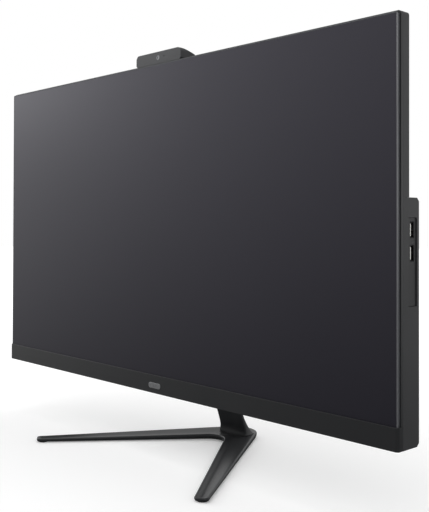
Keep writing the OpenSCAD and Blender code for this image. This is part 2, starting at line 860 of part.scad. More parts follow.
module audio_socket() {
    color("#1b1b1d") difference() {
        union() {
            bar_y(audio_x, port_mid_z, audio_body_r, port_face - 4, port_face - 0.2);
            block(audio_x - 4, audio_x + 4, board_back, port_face - 1.2, port_mid_z - 4, port_mid_z + 4);
        }
        bar_y(audio_x, port_mid_z, audio_r, port_face - 0.2 - audio_len, port_face + 1);
    }
}

module lock_plate() {
    color("#8f9093") difference() {
        block(lock_x - 9.5, lock_x + 9.5, lower_depth - wall - 1.2, lower_depth - wall, lock_z - 7.5,
            lock_z + 7.5);
        lock_slot(lower_depth - 6, lower_depth);
    }
}

// ---- Computer ----

chassis_window_x = [-240, -170, 170, 240];

module chassis_plate() {
    d1 = chassis_front + chassis_t;
    color("#a3a4a7") difference() {
        union() {
            block(-case_w / 2 + 6, case_w / 2 - 6, chassis_front, d1, case_z + 6, lower_top - 6);
            cover_screw_places() translate([0, -lower_depth + chassis_front, 0]) rotate([-90, 0, 0])
                cylinder(h = lower_depth - wall - chassis_front, r = cover_boss_r);
        }
        cover_screw_places() translate([0, -wall - 8, 0]) rotate([-90, 0, 0])
            cylinder(h = 12, r = cover_screw_r, $fn = 24);
        for (x = chassis_window_x) block(x - 22, x + 22, 0, 20, case_z + 150, case_z + 176);
    }
}

board_hole_r = 1.6;
board_hole_x = [board_x + 6, board_x + board_w - 6];
board_hole_z = [board_z + 6, board_z + board_h - 6];

module main_board() {
    color("#1d4f33") difference() {
        block(board_x, board_x + board_w, board_front, board_back, board_z, board_z + board_h);
        for (x = board_hole_x, z = board_hole_z) bar_y(x, z, board_hole_r, board_front - 1,
            board_back + 1);
    }
}

module board_standoffs() {
    color("#b39a55") {
        for (x = board_hole_x, z = board_hole_z) bar_y(x, z, standoff_r, chassis_front + chassis_t,
            board_front);
        for (sx = [-1, 1], sz = [-1, 1]) difference() {
            bar_y(sx * bracket_screw_x, axis_z + sz * bracket_screw_z, 5, chassis_front + chassis_t,
                lower_depth - bracket_t);
            bar_y(sx * bracket_screw_x, axis_z + sz * bracket_screw_z, 2,
                chassis_front + chassis_t + 1, lower_depth);
        }
    }
}

cpu_t = 1.4;
plate_t = 2;
plate_back = board_back + cpu_t + plate_t;

module processor() {
    color("#6d6e70") block(cpu_x - cpu_size / 2, cpu_x + cpu_size / 2, board_back, board_back + cpu_t,
        cpu_z - cpu_size / 2, cpu_z + cpu_size / 2);
}

module cold_plate() {
    color("#b87a4e") difference() {
        block(cpu_x - plate_size / 2, cpu_x + plate_size / 2, board_back + cpu_t, plate_back,
            cpu_z - plate_size / 2, cpu_z + plate_size / 2);
        for (sx = [-1, 1], sz = [-1, 1]) bar_y(cpu_x + sx * 18, cpu_z + sz * 18, 1.4, 8, 20);
    }
}

// A heat pipe lies on the cold plate, climbs past the fan and ends in the fins.
module heat_pipe() {
    d = plate_back + pipe_r;
    y = screen_y + d;
    corner = [cpu_x, y, fin_z + fin_h / 2];
    color("#b87a4e") union() {
        translate([cpu_x, y, cpu_z - plate_size / 2]) cylinder(h = corner[2] - cpu_z + plate_size / 2,
            r = pipe_r, $fn = 24);
        translate(corner) sphere(pipe_r, $fn = 24);
        translate([fin_x + 6, y, corner[2]]) rotate([0, 90, 0]) cylinder(h = cpu_x - fin_x - 6,
            r = pipe_r, $fn = 24);
    }
}

module fin_stack() {
    d = plate_back + pipe_r;
    step = 3;
    count = floor(fin_w / step);
    color("#c3c4c6") difference() {
        union() {
            for (i = [0 : count]) block(fin_x + i * step, fin_x + i * step + 0.5, d - 6, d + 8, fin_z,
                fin_z + fin_h);
            block(fin_x, fin_x + count * step + 0.5, d - 6.4, d - 5.6, fin_z, fin_z + fin_h);
        }
        translate([fin_x - 1, screen_y + d, fin_z + fin_h / 2]) rotate([0, 90, 0])
            cylinder(h = fin_w + 4, r = pipe_r, $fn = 24);
    }
}

module fan_housing() {
    color("#1f2022") difference() {
        block(fan_x - fan_size / 2, fan_x + fan_size / 2, fan_front, fan_front + fan_depth,
            fan_z - fan_size / 2, fan_z + fan_size / 2);
        bar_y(fan_x, fan_z, rotor_r + rotor_gap, fan_front + fan_wall, fan_front + fan_depth + 1);
        block(fan_x - rotor_r - rotor_gap, fan_x + rotor_r + rotor_gap, fan_front + fan_wall,
            fan_front + fan_depth - fan_wall, fan_z, fan_z + fan_size);
    }
    color("#1f2022") bar_y(fan_x, fan_z, fan_axle_r, fan_front + 1, fan_front + 9);
}

module fan_rotor() {
    blades = 11;
    blade_t = 1.6;
    front = fan_front + 3;
    color("#2c2d30") difference() {
        union() {
            bar_y(fan_x, fan_z, hub_r, front, fan_front + fan_depth - 2);
            for (i = [0 : blades - 1]) translate([fan_x, 0, fan_z]) rotate([0, i * 360 / blades, 0])
                translate([hub_r - 2, screen_y + front + 1, -blade_t / 2])
                    cube([rotor_r - hub_r + 2, fan_depth - 7, blade_t]);
        }
        bar_y(fan_x, fan_z, fan_axle_r + 0.05, front - 1, fan_front + 10);
    }
}

module memory_modules() {
    color("#23603f") for (i = [0, 1]) block(board_x + 8, board_x + 76, board_back + 1 + 5 * i,
        board_back + 3 + 5 * i,
        board_z + 30 - 2 * i, board_z + 59 - 2 * i);
    color("#1c1c1e") block(board_x + 6, board_x + 78, board_back, board_back + 9, board_z + 22,
        board_z + 28);
}

module solid_state_drive() {
    color("#23603f") block(board_x + 84, board_x + 106, board_back + 1.2, board_back + 3.5,
        board_z + 24, board_z + 66);
    color("#1c1c1e") block(board_x + 84, board_x + 106, board_back, board_back + 4, board_z + 66,
        board_z + 72);
}

module wireless_card() {
    color("#23603f") block(board_x + 112, board_x + 134, board_back + 1.2, board_back + 3.2,
        board_z + 30, board_z + 56);
    color("#1c1c1e") block(board_x + 112, board_x + 134, board_back, board_back + 4, board_z + 56,
        board_z + 62);
}

module coin_cell() {
    color("#c3c4c6") bar_y(board_x + 122, board_z + 132, 10, board_back + 0.6, board_back + 3.8);
    color("#1c1c1e") bar_y(board_x + 122, board_z + 132, 11, board_back, board_back + 0.6);
}

module disk_drive() {
    d0 = chassis_front + chassis_t + 1;
    color("#8f9093") block(drive_x, drive_x + drive_w, d0, d0 + drive_t, drive_z, drive_z + drive_h);
}

module drive_caddy() {
    d0 = chassis_front + chassis_t;
    lip = 6;
    color("#77787b") difference() {
        block(drive_x - lip, drive_x + drive_w + lip, d0, d0 + 10, drive_z - lip,
            drive_z + drive_h + lip);
        block(drive_x - clearance, drive_x + drive_w + clearance, d0 + 1, d0 + 11,
            drive_z - clearance, drive_z + drive_h + clearance);
        block(drive_x + 2 * lip, drive_x + drive_w - 2 * lip, d0 - 1, d0 + 2, drive_z + 2 * lip,
            drive_z + drive_h - 2 * lip);
    }
}

module speakers() {
    color("#1c1c1e") for (s = [-1, 1]) difference() {
        block(s * speaker_x - speaker_w / 2, s * speaker_x + speaker_w / 2, 9, 25, case_z + wall,
            case_z + 21);
        translate([s * speaker_x, screen_y + 17, case_z + wall - 1]) pill(64, 12, 3);
    }
}

// ---- Power button ----

module power_button() {
    rest_out = 1;
    color("#4a4b4e") translate([button_x, screen_y + button_d, case_z - rest_out]) union() {
        pill(button_w, button_t, wall + rest_out + 0.6);
        translate([0, 0, wall + rest_out]) pill(5, 3, 2);
    }
}

module power_switch() {
    z0 = case_z + wall + 0.6 + 1.4 + button_travel + 0.3;
    arm_d = chassis_front + chassis_t;
    color("#b9babd") {
        translate([button_x, screen_y + button_d, z0]) {
            cylinder(h = 2, r = 1.6);
            translate([-3, -3, 1]) cube([6, 6, 2.5]);
        }
        block(button_x - 8, button_x + 8, arm_d, button_d + 4, z0 + 3.4, z0 + 4.6);
        block(button_x - 8, button_x + 8, arm_d, arm_d + 1.2, z0 + 3.4, z0 + 16);
    }
}

// ---- Pop-up camera ----

cam_front_t = 0.8;
cam_mid_z = cam_h / 2;
lens_r = 2.5;
mic_x = 10.5;
mic_r = 0.6;

module cam_outline(w, h) {
    top_r = 5;
    low_r = 2.5;
    union() {
        translate([-w / 2, low_r]) square([w, h - low_r - top_r]);
        translate([-w / 2 + top_r, low_r]) square([w - 2 * top_r, h - low_r]);
        translate([-w / 2 + low_r, 0]) square([w - 2 * low_r, h - top_r]);
        for (s = [-1, 1]) {
            translate([s * (w / 2 - top_r), h - top_r]) circle(top_r);
            translate([s * (w / 2 - low_r), low_r]) circle(low_r);
        }
    }
}

module cam_prism(w, h, d0, d1) {
    translate([cam_x, screen_y + d1, cam_z]) rotate([90, 0, 0]) linear_extrude(d1 - d0) cam_outline(w, h);
}

module camera_head() {
    d0 = cam_front + cam_front_t;
    tail_h = 6.8;
    color("#2a2b2e") difference() {
        intersection() {
            cam_prism(cam_w, cam_h, d0, cam_back);
            translate([cam_x, 0, cam_z]) side_profile([
                [screen_y + d0 - 1, -1], [screen_y + cam_back + 1, -1], [screen_y + cam_back + 1, tail_h],
                [screen_y + d0 + 3, cam_h + 0.1], [screen_y + d0 - 1, cam_h + 0.1]], cam_w + 2);
        }
        block(cam_x - 30, cam_x + 30, d0 - 1, d0 + 6, cam_z + 2, cam_z + cam_h - 2);
    }
}

module camera_front() {
    color("#0f1012") difference() {
        cam_prism(cam_w, cam_h, cam_front, cam_front + cam_front_t);
        bar_y(cam_x, cam_z + cam_mid_z, lens_r + tight, cam_front - 1, cam_front + 2);
        bar_y(cam_x + mic_x, cam_z + cam_mid_z + 0.6, mic_r, cam_front - 1, cam_front + 2);
    }
}

module camera_lens() {
    color("#8a8b8f") difference() {
        union() {
            bar_y(cam_x, cam_z + cam_mid_z, lens_r, cam_front + 0.1, cam_front + 1.4);
            bar_y(cam_x, cam_z + cam_mid_z, 4, cam_front + cam_front_t + 0.1, cam_front + 3.4);
        }
        bar_y(cam_x, cam_z + cam_mid_z, 1.5, cam_front - 1, cam_front + 0.7);
    }
}

module camera_board() {
    color("#1f5a36") block(cam_x - 28, cam_x + 28, cam_front + 3.4, cam_front + 4.4, cam_z + 2.4,
        cam_z + cam_h - 2.4);
}

module camera_stem() {
    color("#4a4b4e") difference() {
        block(cam_x - stem_w / 2, cam_x + stem_w / 2, 9, 11.5, cam_z - stem_h, cam_z);
        block(cam_x - stem_w / 2 + 8, cam_x + stem_w / 2 - 8, 0, 20, cam_z - stem_h + 10, cam_z - 12);
    }
}

module camera_guide() {
    rail_w = 4.5;
    low = case_top - 62;
    high = cam_z - cam_travel - 3;
    inner = stem_w / 2 + clearance;
    outer = inner + rail_w - 1.5;
    color("#38393c") difference() {
        block(cam_x - outer, cam_x + outer, 7, 13, low - 3, high);
        block(cam_x - inner, cam_x + inner, 9 - clearance, 11.5 + clearance, low, high + 1);
        block(cam_x - inner + 1.5, cam_x + inner - 1.5, 6, 14, low, high + 1);
    }
}

stand_base();
rubber_feet();
base_screws();
stand_neck();
hinge_yoke();
yoke_screws();
hinge_bracket();
hinge_pin();
friction_washers();
hinge_screws();
lcd_cell();
panel_rim();
light_guide();
led_bar();
panel_tray();
timing_board();
mid_frame();
chin_bezel();
chin_badge();
upper_cover();
rear_cover();
cover_screws();
exhaust_grille();
intake_grille();
side_port_plate();
rear_port_plate();
lock_plate();
chassis_plate();
main_board();
board_standoffs();
processor();
cold_plate();
heat_pipe();
fin_stack();
fan_housing();
fan_rotor();
memory_modules();
solid_state_drive();
wireless_card();
coin_cell();
disk_drive();
drive_caddy();
side_usb_shells();
side_usb_tongues();
side_usb_board();
rear_usb_shells();
rear_usb_tongues();
network_socket();
video_socket();
power_socket();
audio_socket();
speakers();
power_button();
power_switch();
camera_head();
camera_front();
camera_lens();
camera_board();
camera_stem();
camera_guide();
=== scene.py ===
"""An all-in-one desktop computer on a V-shaped cast stand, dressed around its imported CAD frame."""

from math import acos, atan2, cos, pi, radians, sin

import bmesh
import bpy
from mathutils import Matrix, Vector


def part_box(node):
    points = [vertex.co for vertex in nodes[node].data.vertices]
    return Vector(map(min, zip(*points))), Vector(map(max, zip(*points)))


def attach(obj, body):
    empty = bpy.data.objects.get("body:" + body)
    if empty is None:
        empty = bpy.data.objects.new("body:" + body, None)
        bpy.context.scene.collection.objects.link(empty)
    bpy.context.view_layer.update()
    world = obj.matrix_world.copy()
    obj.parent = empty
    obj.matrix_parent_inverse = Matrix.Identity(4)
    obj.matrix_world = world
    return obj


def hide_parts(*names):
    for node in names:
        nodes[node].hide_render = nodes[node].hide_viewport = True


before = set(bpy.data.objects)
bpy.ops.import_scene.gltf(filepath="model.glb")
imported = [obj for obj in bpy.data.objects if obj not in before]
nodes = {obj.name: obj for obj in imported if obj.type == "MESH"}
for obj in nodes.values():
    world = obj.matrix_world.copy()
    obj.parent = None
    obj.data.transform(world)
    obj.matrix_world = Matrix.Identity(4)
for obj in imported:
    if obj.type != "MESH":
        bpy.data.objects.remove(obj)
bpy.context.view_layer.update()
mm = 0.001

# ---------------------------------------------------------------------------
# Camera
# A long lens on the right of the object at about the height of the screen's middle,
# looking towards its left half. It is placed from the screen's front face.
# ---------------------------------------------------------------------------
IMAGE_LONG_SIDE = 512
FOCAL_PIXELS = 812.5
CAMERA_FROM_SCREEN = (682.1, -586.4, 257.9)
YAW, PITCH, ROLL = 48.83, 0.71, 0.21
screen_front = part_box("lcd_cell")[0].y - 0.2 * mm

camera_data = bpy.data.cameras.new("studio_camera")
camera_data.sensor_width = 36.0
camera_data.lens = camera_data.sensor_width * FOCAL_PIXELS / IMAGE_LONG_SIDE
camera_data.shift_x = 0.1
camera_data.shift_y = -0.0834
camera_data.clip_start = 0.01
camera_data.clip_end = 50.0
camera = bpy.data.objects.new("studio_camera", camera_data)
camera.location = Vector(CAMERA_FROM_SCREEN) * mm + Vector((0, screen_front, 0))
turns = ((radians(YAW), "Z"), (pi / 2 + radians(PITCH), "X"), (radians(ROLL), "Z"))
turned = Matrix.Identity(3)
for angle, axis in turns:
    turned = turned @ Matrix.Rotation(angle, 3, axis)
camera.rotation_euler = turned.to_euler()
bpy.context.scene.collection.objects.link(camera)
bpy.context.scene.camera = camera


# ---------------------------------------------------------------------------
# Studio
# A wide pale floor under a soft white room. The room is brightest on the left
# and overhead, as one large diffused window and a ceiling panel would make it.
# ---------------------------------------------------------------------------
def linear(hex_colour):
    """An sRGB colour such as '#2b2c2f' as linear red, green, blue and alpha."""
    channels = [int(hex_colour[i : i + 2], 16) / 255 for i in (1, 3, 5)]
    return (*[c / 12.92 if c <= 0.04045 else ((c + 0.055) / 1.055) ** 2.4 for c in channels], 1.0)


def add(tree, kind, settings=None, links=None):
    """Adds a shader node. Settings fill its sockets or properties, and links join outputs to its sockets."""
    node = tree.nodes.new("ShaderNode" + kind)
    for key, value in (settings or {}).items():
        if isinstance(key, str) and key not in node.inputs:
            setattr(node, key, value)
        else:
            node.inputs[key].default_value = value
    for key, (source, output) in (links or {}).items():
        tree.links.new(source.outputs[output], node.inputs[key])
    return node


def new_tree(owner):
    """The empty node tree of a material or world."""
    owner.use_nodes = True
    owner.node_tree.nodes.clear()
    return owner.node_tree


bpy.context.scene.view_settings.view_transform = "Standard"

ROOM_DIM = 0.42
WINDOW_GAIN = 0.75
WINDOW_TOWARDS = (-0.975, -0.2, 0.1)
WINDOW_TIGHTNESS = 6.0
RISE_GAIN = 3.0
RISE_LIMIT = 0.3

room = bpy.data.worlds.new("soft_white_room")
bpy.context.scene.world = room
tree = new_tree(room)
towards = add(tree, "TexCoord")
facing = add(tree, "VectorMath", {"operation": "DOT_PRODUCT", 1: WINDOW_TOWARDS}, {0: (towards, "Generated")})
facing = add(tree, "Math", {"operation": "MAXIMUM", 1: 0.0}, {0: (facing, "Value")})
window = add(tree, "Math", {"operation": "POWER", 1: WINDOW_TIGHTNESS}, {0: (facing, "Value")})
around = add(tree, "Math", {"operation": "MULTIPLY_ADD", 1: WINDOW_GAIN, 2: ROOM_DIM}, {0: (window, "Value")})
height = add(tree, "SeparateXYZ", {}, {0: (towards, "Generated")})
rise = add(
    tree,
    "MapRange",
    {
        "From Min": -RISE_LIMIT,
        "From Max": RISE_LIMIT,
        "To Min": 1 - RISE_GAIN * RISE_LIMIT,
        "To Max": 1 + RISE_GAIN * RISE_LIMIT,
    },
    {"Value": (height, "Z")},
)
glow = add(tree, "Math", {"operation": "MULTIPLY"}, {0: (around, "Value"), 1: (rise, "Result")})
lit = add(tree, "Background", {"Color": (1.0, 1.0, 1.0, 1.0)}, {"Strength": (glow, "Value")})
backdrop = add(tree, "Background", {"Color": (1.0, 1.0, 1.0, 1.0), "Strength": 1.0})
seen = add(tree, "LightPath")
both = add(tree, "MixShader", {}, {0: (seen, "Is Camera Ray"), 1: (lit, 0), 2: (backdrop, 0)})
add(tree, "OutputWorld", {}, {"Surface": (both, 0)})

paper = bpy.data.materials.new("white_paper_sweep")
tree = new_tree(paper)
place = add(tree, "TexCoord")
mottle = add(tree, "TexNoise", {"Scale": 3.0, "Detail": 3.0}, {"Vector": (place, "Object")})
shade = add(
    tree,
    "MapRange",
    {"To Min": 0.93, "To Max": 0.96},
    {"Value": (mottle, 0)},
)
paper_surface = add(tree, "BsdfDiffuse", {"Roughness": 0.5}, {"Color": (shade, "Result")})
away = add(tree, "VectorMath", {"operation": "LENGTH"}, {0: (place, "Object")})
# The sweep is lit from behind further out, so that it meets the white backdrop without a line.
backlight = add(
    tree,
    "MapRange",
    {"From Min": 0.5, "From Max": 3.0, "To Min": 0.16, "To Max": 0.6},
    {"Value": (away, "Value")},
)
paper_glow = add(tree, "Emission", {"Color": (1.0, 1.0, 1.0, 1.0)}, {"Strength": (backlight, "Result")})
lit_paper = add(tree, "AddShader", {}, {0: (paper_surface, 0), 1: (paper_glow, 0)})
add(tree, "OutputMaterial", {}, {"Surface": (lit_paper, 0)})

floor_mesh = bpy.data.meshes.new("floor")
floor_half = 7.0
floor_mesh.from_pydata(
    [(x * floor_half, y * floor_half, 0) for x, y in ((-1, -1), (1, -1), (1, 1), (-1, 1))], [], [(0, 1, 2, 3)]
)
floor = bpy.data.objects.new("floor", floor_mesh)
floor_mesh.materials.append(paper)
floor.visible_glossy = False
bpy.context.scene.collection.objects.link(floor)

PANELS = [
    # name, place in metres, width, depth, watts
    ("ceiling_panel", (-0.2, -0.1, 2.6), 2.4, 2.4, 16.0),
    ("window_panel", (-2.6, -0.9, 1.5), 1.6, 1.6, 10.0),
    ("side_panel", (1.5, 2.3, 0.35), 1.5, 0.9, 4.5),
]
for name, place, wide, deep, watts in PANELS:
    light = bpy.data.lights.new(name, "AREA")
    light.shape = "RECTANGLE"
    light.size = wide
    light.size_y = deep
    light.energy = watts
    lamp = bpy.data.objects.new(name, light)
    lamp.location = place
    lamp.visible_camera = False
    lamp.rotation_euler = (Vector((0, 0, 0.2)) - Vector(place)).to_track_quat("-Z", "Y").to_euler()
    bpy.context.scene.collection.objects.link(lamp)


# ---------------------------------------------------------------------------
# Stand base
# One zinc die casting in the shape of a V, powder coated satin black. Its legs
# are dished along their middle lines and stand on three rubber feet.
# ---------------------------------------------------------------------------
def join_rings(name, rings, ends=True, sharp=35.0):
    """A mesh object whose skin runs through closed rings with the same number of points."""
    mesh = bpy.data.meshes.new(name)
    count = len(rings[0])
    faces = []
    for r in range(len(rings) - 1):
        for i in range(count):
            j = (i + 1) % count
            faces.append((r * count + i, r * count + j, (r + 1) * count + j, (r + 1) * count + i))
    if ends:
        faces.append(tuple(reversed(range(count))))
        faces.append(tuple(range((len(rings) - 1) * count, len(rings) * count)))
    mesh.from_pydata([p for ring in rings for p in ring], [], faces)
    return settle(name, mesh, sharp)


def settle(name, mesh, sharp=35.0):
    """Welds a mesh, shades it smooth up to the sharp angle in degrees, and returns its new object."""
    bm = bmesh.new()
    bm.from_mesh(mesh)
    bmesh.ops.remove_doubles(bm, verts=bm.verts, dist=0.002 * mm)
    bmesh.ops.recalc_face_normals(bm, faces=bm.faces)
    for face in bm.faces:
        face.smooth = True
    for edge in bm.edges:
        edge.smooth = len(edge.link_faces) == 2 and edge.calc_face_angle(pi) < radians(sharp)
    bm.to_mesh(mesh)
    bm.free()
    obj = bpy.data.objects.new(name, mesh)
    bpy.context.scene.collection.objects.link(obj)
    return obj


def fit_out(obj, body, material, slot, *stands_for):
    """Gives a new piece its finish, its body and the CAD nodes that it stands for. The slot is not used."""
    obj.data.materials.clear()
    obj.data.materials.append(material)
    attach(obj, body)
    if stands_for:
        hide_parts(*stands_for)
    return obj


def finish(name, tones, grain, relief, roughness, metallic=0.0, specular=0.5, stretch=(1, 1, 1), blotch=70.0):
    """A material with a fine grain of that size in mm under a faint broad mottle.

    tones are the darkest and lightest colours, relief is the height of the grain in mm,
    and roughness is its lowest and highest value.
    """
    material = bpy.data.materials.new(name)
    tree = new_tree(material)
    place = add(tree, "TexCoord")
    drawn = add(tree, "Mapping", {"Scale": stretch}, {"Vector": (place, "Object")})
    fine = add(tree, "TexNoise", {"Scale": 1000 / grain, "Detail": 3.0}, {"Vector": (drawn, 0)})
    broad = add(tree, "TexNoise", {"Scale": 1000 / blotch, "Detail": 2.0}, {"Vector": (place, "Object")})
    mixed = add(tree, "Math", {"operation": "ADD", "use_clamp": False}, {0: (fine, 0), 1: (broad, 0)})
    average = add(tree, "Math", {"operation": "MULTIPLY", 1: 0.5}, {0: (mixed, 0)})
    tone = add(tree, "ValToRGB", {}, {"Fac": (average, 0)})
    tone.color_ramp.elements[0].position = 0.3
    tone.color_ramp.elements[0].color = linear(tones[0])
    tone.color_ramp.elements[1].position = 0.7
    tone.color_ramp.elements[1].color = linear(tones[1])
    gloss = add(
        tree,
        "MapRange",
        {"From Min": 0.3, "From Max": 0.7, "To Min": roughness[0], "To Max": roughness[1]},
        {"Value": (fine, 0)},
    )
    bump = add(tree, "Bump", {"Strength": 1.0, "Distance": relief * mm}, {"Height": (fine, 0)})
    body = add(
        tree,
        "BsdfPrincipled",
        {"Metallic": metallic},
        {"Base Color": (tone, 0), "Roughness": (gloss, "Result"), "Normal": (bump, 0)},
    )
    if not metallic:
        body.inputs["Specular IOR Level"].default_value = specular
    add(tree, "OutputMaterial", {}, {"Surface": (body, 0)})
    return material


# Powder coat cures with a faint orange peel, about 1.5 mm across, so its highlights are soft and uneven.
powder_coat = finish(
    "satin_powder_coat_on_zinc", ("#1f2022", "#28292b"), 1.5, 0.012, (0.34, 0.42), specular=0.45
)

base_low, base_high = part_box("stand_base")
base_bottom = base_low.z
base_top = base_high.z
HEEL_R = 24.8 * mm
TIP_HALF = 7.3 * mm
BASE_DEPTH = 219 * mm
TIP_CORNER_R = 4 * mm
CROTCH_R = 18 * mm
HEEL_TO_CROTCH = 53 * mm
HEEL_THICKNESS = base_top - base_bottom
TIP_THICKNESS = 3.6 * mm
heel = Vector((0, base_high.y - HEEL_R))
tip = Vector((135.5 * mm, base_high.y - BASE_DEPTH + TIP_HALF))
crotch = Vector((0, base_high.y - HEEL_TO_CROTCH - CROTCH_R))
leg = tip - heel
to_crotch = crotch - tip
leg_facing = atan2(leg.y, leg.x)
outer_facing = leg_facing + acos((HEEL_R - TIP_HALF) / leg.length)
inner_facing = atan2(to_crotch.y, to_crotch.x) + acos((TIP_HALF + CROTCH_R) / to_crotch.length)


def pointing(angle):
    """A unit vector at that angle in the plane of the desk."""
    return Vector((cos(angle), sin(angle)))


def around_circle(centre, radius, start, end, steps):
    """Points on an arc, angles in radians."""
    return [centre + radius * pointing(start + (end - start) * i / steps) for i in range(steps + 1)]


def along_line(a, b, steps):
    """Points between two points, both left out."""
    return [a.lerp(b, i / steps) for i in range(1, steps)]


def on_middle_line(point):
    """The nearest point of the leg's middle line, which runs from the heel's centre to the tip's."""
    share = (point - heel).dot(leg) / leg.length_squared
    return heel + leg * min(max(share, 0.0), 1.0)


def tip_corner(facing):
    """Centre of the tip's rounded corner next to the edge that faces that way."""
    a, b = pointing(facing), pointing(leg_facing)
    reach = (TIP_HALF - TIP_CORNER_R) / (a.x * b.y - a.y * b.x)
    return tip + reach * Vector((b.y - a.y, a.x - b.x))


heel_arc = around_circle(heel, HEEL_R, pi / 2, outer_facing, 14)
tip_arc = around_circle(tip_corner(outer_facing), TIP_CORNER_R, outer_facing, leg_facing, 8)
tip_arc += around_circle(tip_corner(inner_facing), TIP_CORNER_R, leg_facing, inner_facing - 2 * pi, 8)
crotch_arc = around_circle(crotch, CROTCH_R, inner_facing - pi, pi / 2, 14)
outer_edge = along_line(heel_arc[-1], tip_arc[0], 26)
inner_edge = along_line(tip_arc[-1], crotch_arc[0], 24)
crotch_middle = on_middle_line(crotch_arc[0])
half_rim = heel_arc + outer_edge + tip_arc + inner_edge + crotch_arc
half_middle = (
    [heel] * len(heel_arc)
    + [on_middle_line(p) for p in outer_edge]
    + [tip] * len(tip_arc)
    + [on_middle_line(p) for p in inner_edge]
    + [crotch_middle.lerp(heel, i / (len(crotch_arc) - 1)) for i in range(len(crotch_arc))]
)
mirrored = range(len(half_rim) - 2, 0, -1)
rim = half_rim + [Vector((-half_rim[i].x, half_rim[i].y)) for i in mirrored]
middle = half_middle + [Vector((-half_middle[i].x, half_middle[i].y)) for i in mirrored]

DISH_AT_TIP = 1.6 * mm
DISH_AT_NECK = 2.9 * mm
# The dish reaches its depth at the tip two thirds of the way out.
DISH_SETTLES = 2 / 3
DISH_CURVE = 1.25
# The casting has its full height from just in front of the neck backwards.
FULL_HEIGHT_Y = heel.y - 6 * mm
DISH_STEPS = 10
EDGE = [
    # millimetres in from the outline, and share of the thickness, up the side and over the rounded edge
    (3.0, 0.0),
    (1.6, 0.0),
    (0.8, 0.12),
    (0.25, 0.4),
    (0.0, 0.68),
    (0.12, 0.85),
    (0.5, 0.96),
    (1.0, 1.0),
    (1.5, 1.0),
]


def base_ring(inset, share_up, share=0.0, dish=0.0):
    """One loop of the casting: inset mm from its outline, then a share of the way to the middle line."""
    ring = []
    for p, m in zip(rim, middle):
        run = m - p
        q = (p + run * min(inset * mm / run.length, 0.97)).lerp(m, share)
        out = (Vector((abs(m.x), m.y)) - heel).length / leg.length
        depth = DISH_AT_NECK + (DISH_AT_TIP - DISH_AT_NECK) * min(out / DISH_SETTLES, 1.0)
        slope = min(max((q.y - tip.y) / (FULL_HEIGHT_Y - tip.y), 0.0), 1.0)
        thickness = TIP_THICKNESS + (HEEL_THICKNESS - TIP_THICKNESS) * slope
        ring.append((q.x, q.y, base_bottom + thickness * share_up - depth * dish))
    return ring


rings = [base_ring(EDGE[0][0], EDGE[0][1], 1.0)]
rings += [base_ring(inset, share_up) for inset, share_up in EDGE]
for k in range(1, DISH_STEPS + 1):
    share = k / DISH_STEPS
    rings.append(base_ring(EDGE[-1][0], 1.0, share, sin(share * pi / 2) ** DISH_CURVE))
base_casting = join_rings("base_casting", rings, ends=False, sharp=60)
fit_out(base_casting, "stand", powder_coat, "painted_cast_metal", "stand_base")


# ---------------------------------------------------------------------------
# Neck
# A cast blade that leans back from the tilt hinge and spreads into a foot on the
# base, powder coated with the base. Screws from below hold it.
# ---------------------------------------------------------------------------
neck_low, neck_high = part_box("stand_neck")
neck_w = neck_high.x - neck_low.x
neck_t = 5.2 * mm
NECK_SINK = 3.6 * mm
CURL_HEIGHT = 10 * mm
CORNER_STEPS = 5
FOOT_DEPTH = 14 * mm
neck_foot_front = neck_high.y - FOOT_DEPTH
neck_lean = (neck_low.y - neck_foot_front) / (neck_high.z - base_top)
FLARE_HEIGHT = 30 * mm
FOOT_SPREAD = 2.2 * mm
FOOT_LIP = 2.6 * mm
NECK_EDGE = 2.1 * mm


def neck_ring(z):
    """The neck's rounded section at height z."""
    up = max(z - base_top, 0.0)
    near_foot = max(0.0, 1 - up / FLARE_HEIGHT)
    swell = 1 - (1 - near_foot**2) ** 0.5 if near_foot < 1 else 1.0
    curl = max(0.0, 1 - up / CURL_HEIGHT) ** 2
    front = neck_foot_front + up * neck_lean - FOOT_LIP * curl
    back = neck_foot_front + up * neck_lean + neck_t + (FOOT_DEPTH - neck_t) * swell
    half = neck_w / 2 + FOOT_SPREAD * near_foot**2.5
    r = NECK_EDGE
    corners = [
        (half - r, front + r, -pi / 2),
        (half - r, back - r, 0.0),
        (-half + r, back - r, pi / 2),
        (-half + r, front + r, pi),
    ]
    ring = []
    for x, y, start in corners:
        for i in range(CORNER_STEPS + 1):
            a = start + pi / 2 * i / CORNER_STEPS
            ring.append((x + r * cos(a), y + r * sin(a), z))
    return ring


heights = [base_top - NECK_SINK, base_top]
heights += [base_top + FLARE_HEIGHT * (i / 20) ** 1.5 for i in range(1, 21)]
straight_part = neck_high.z - base_top - FLARE_HEIGHT
heights += [base_top + FLARE_HEIGHT + straight_part * i / 10 for i in range(1, 11)]
neck_blade = join_rings("neck_blade", [neck_ring(z) for z in heights])
rounding = neck_blade.modifiers.new("top_edge", "BEVEL")
rounding.width = 0.8 * mm
rounding.segments = 3
rounding.limit_method = "ANGLE"
rounding.angle_limit = radians(50)
fit_out(neck_blade, "stand", powder_coat, "painted_cast_metal", "stand_neck")


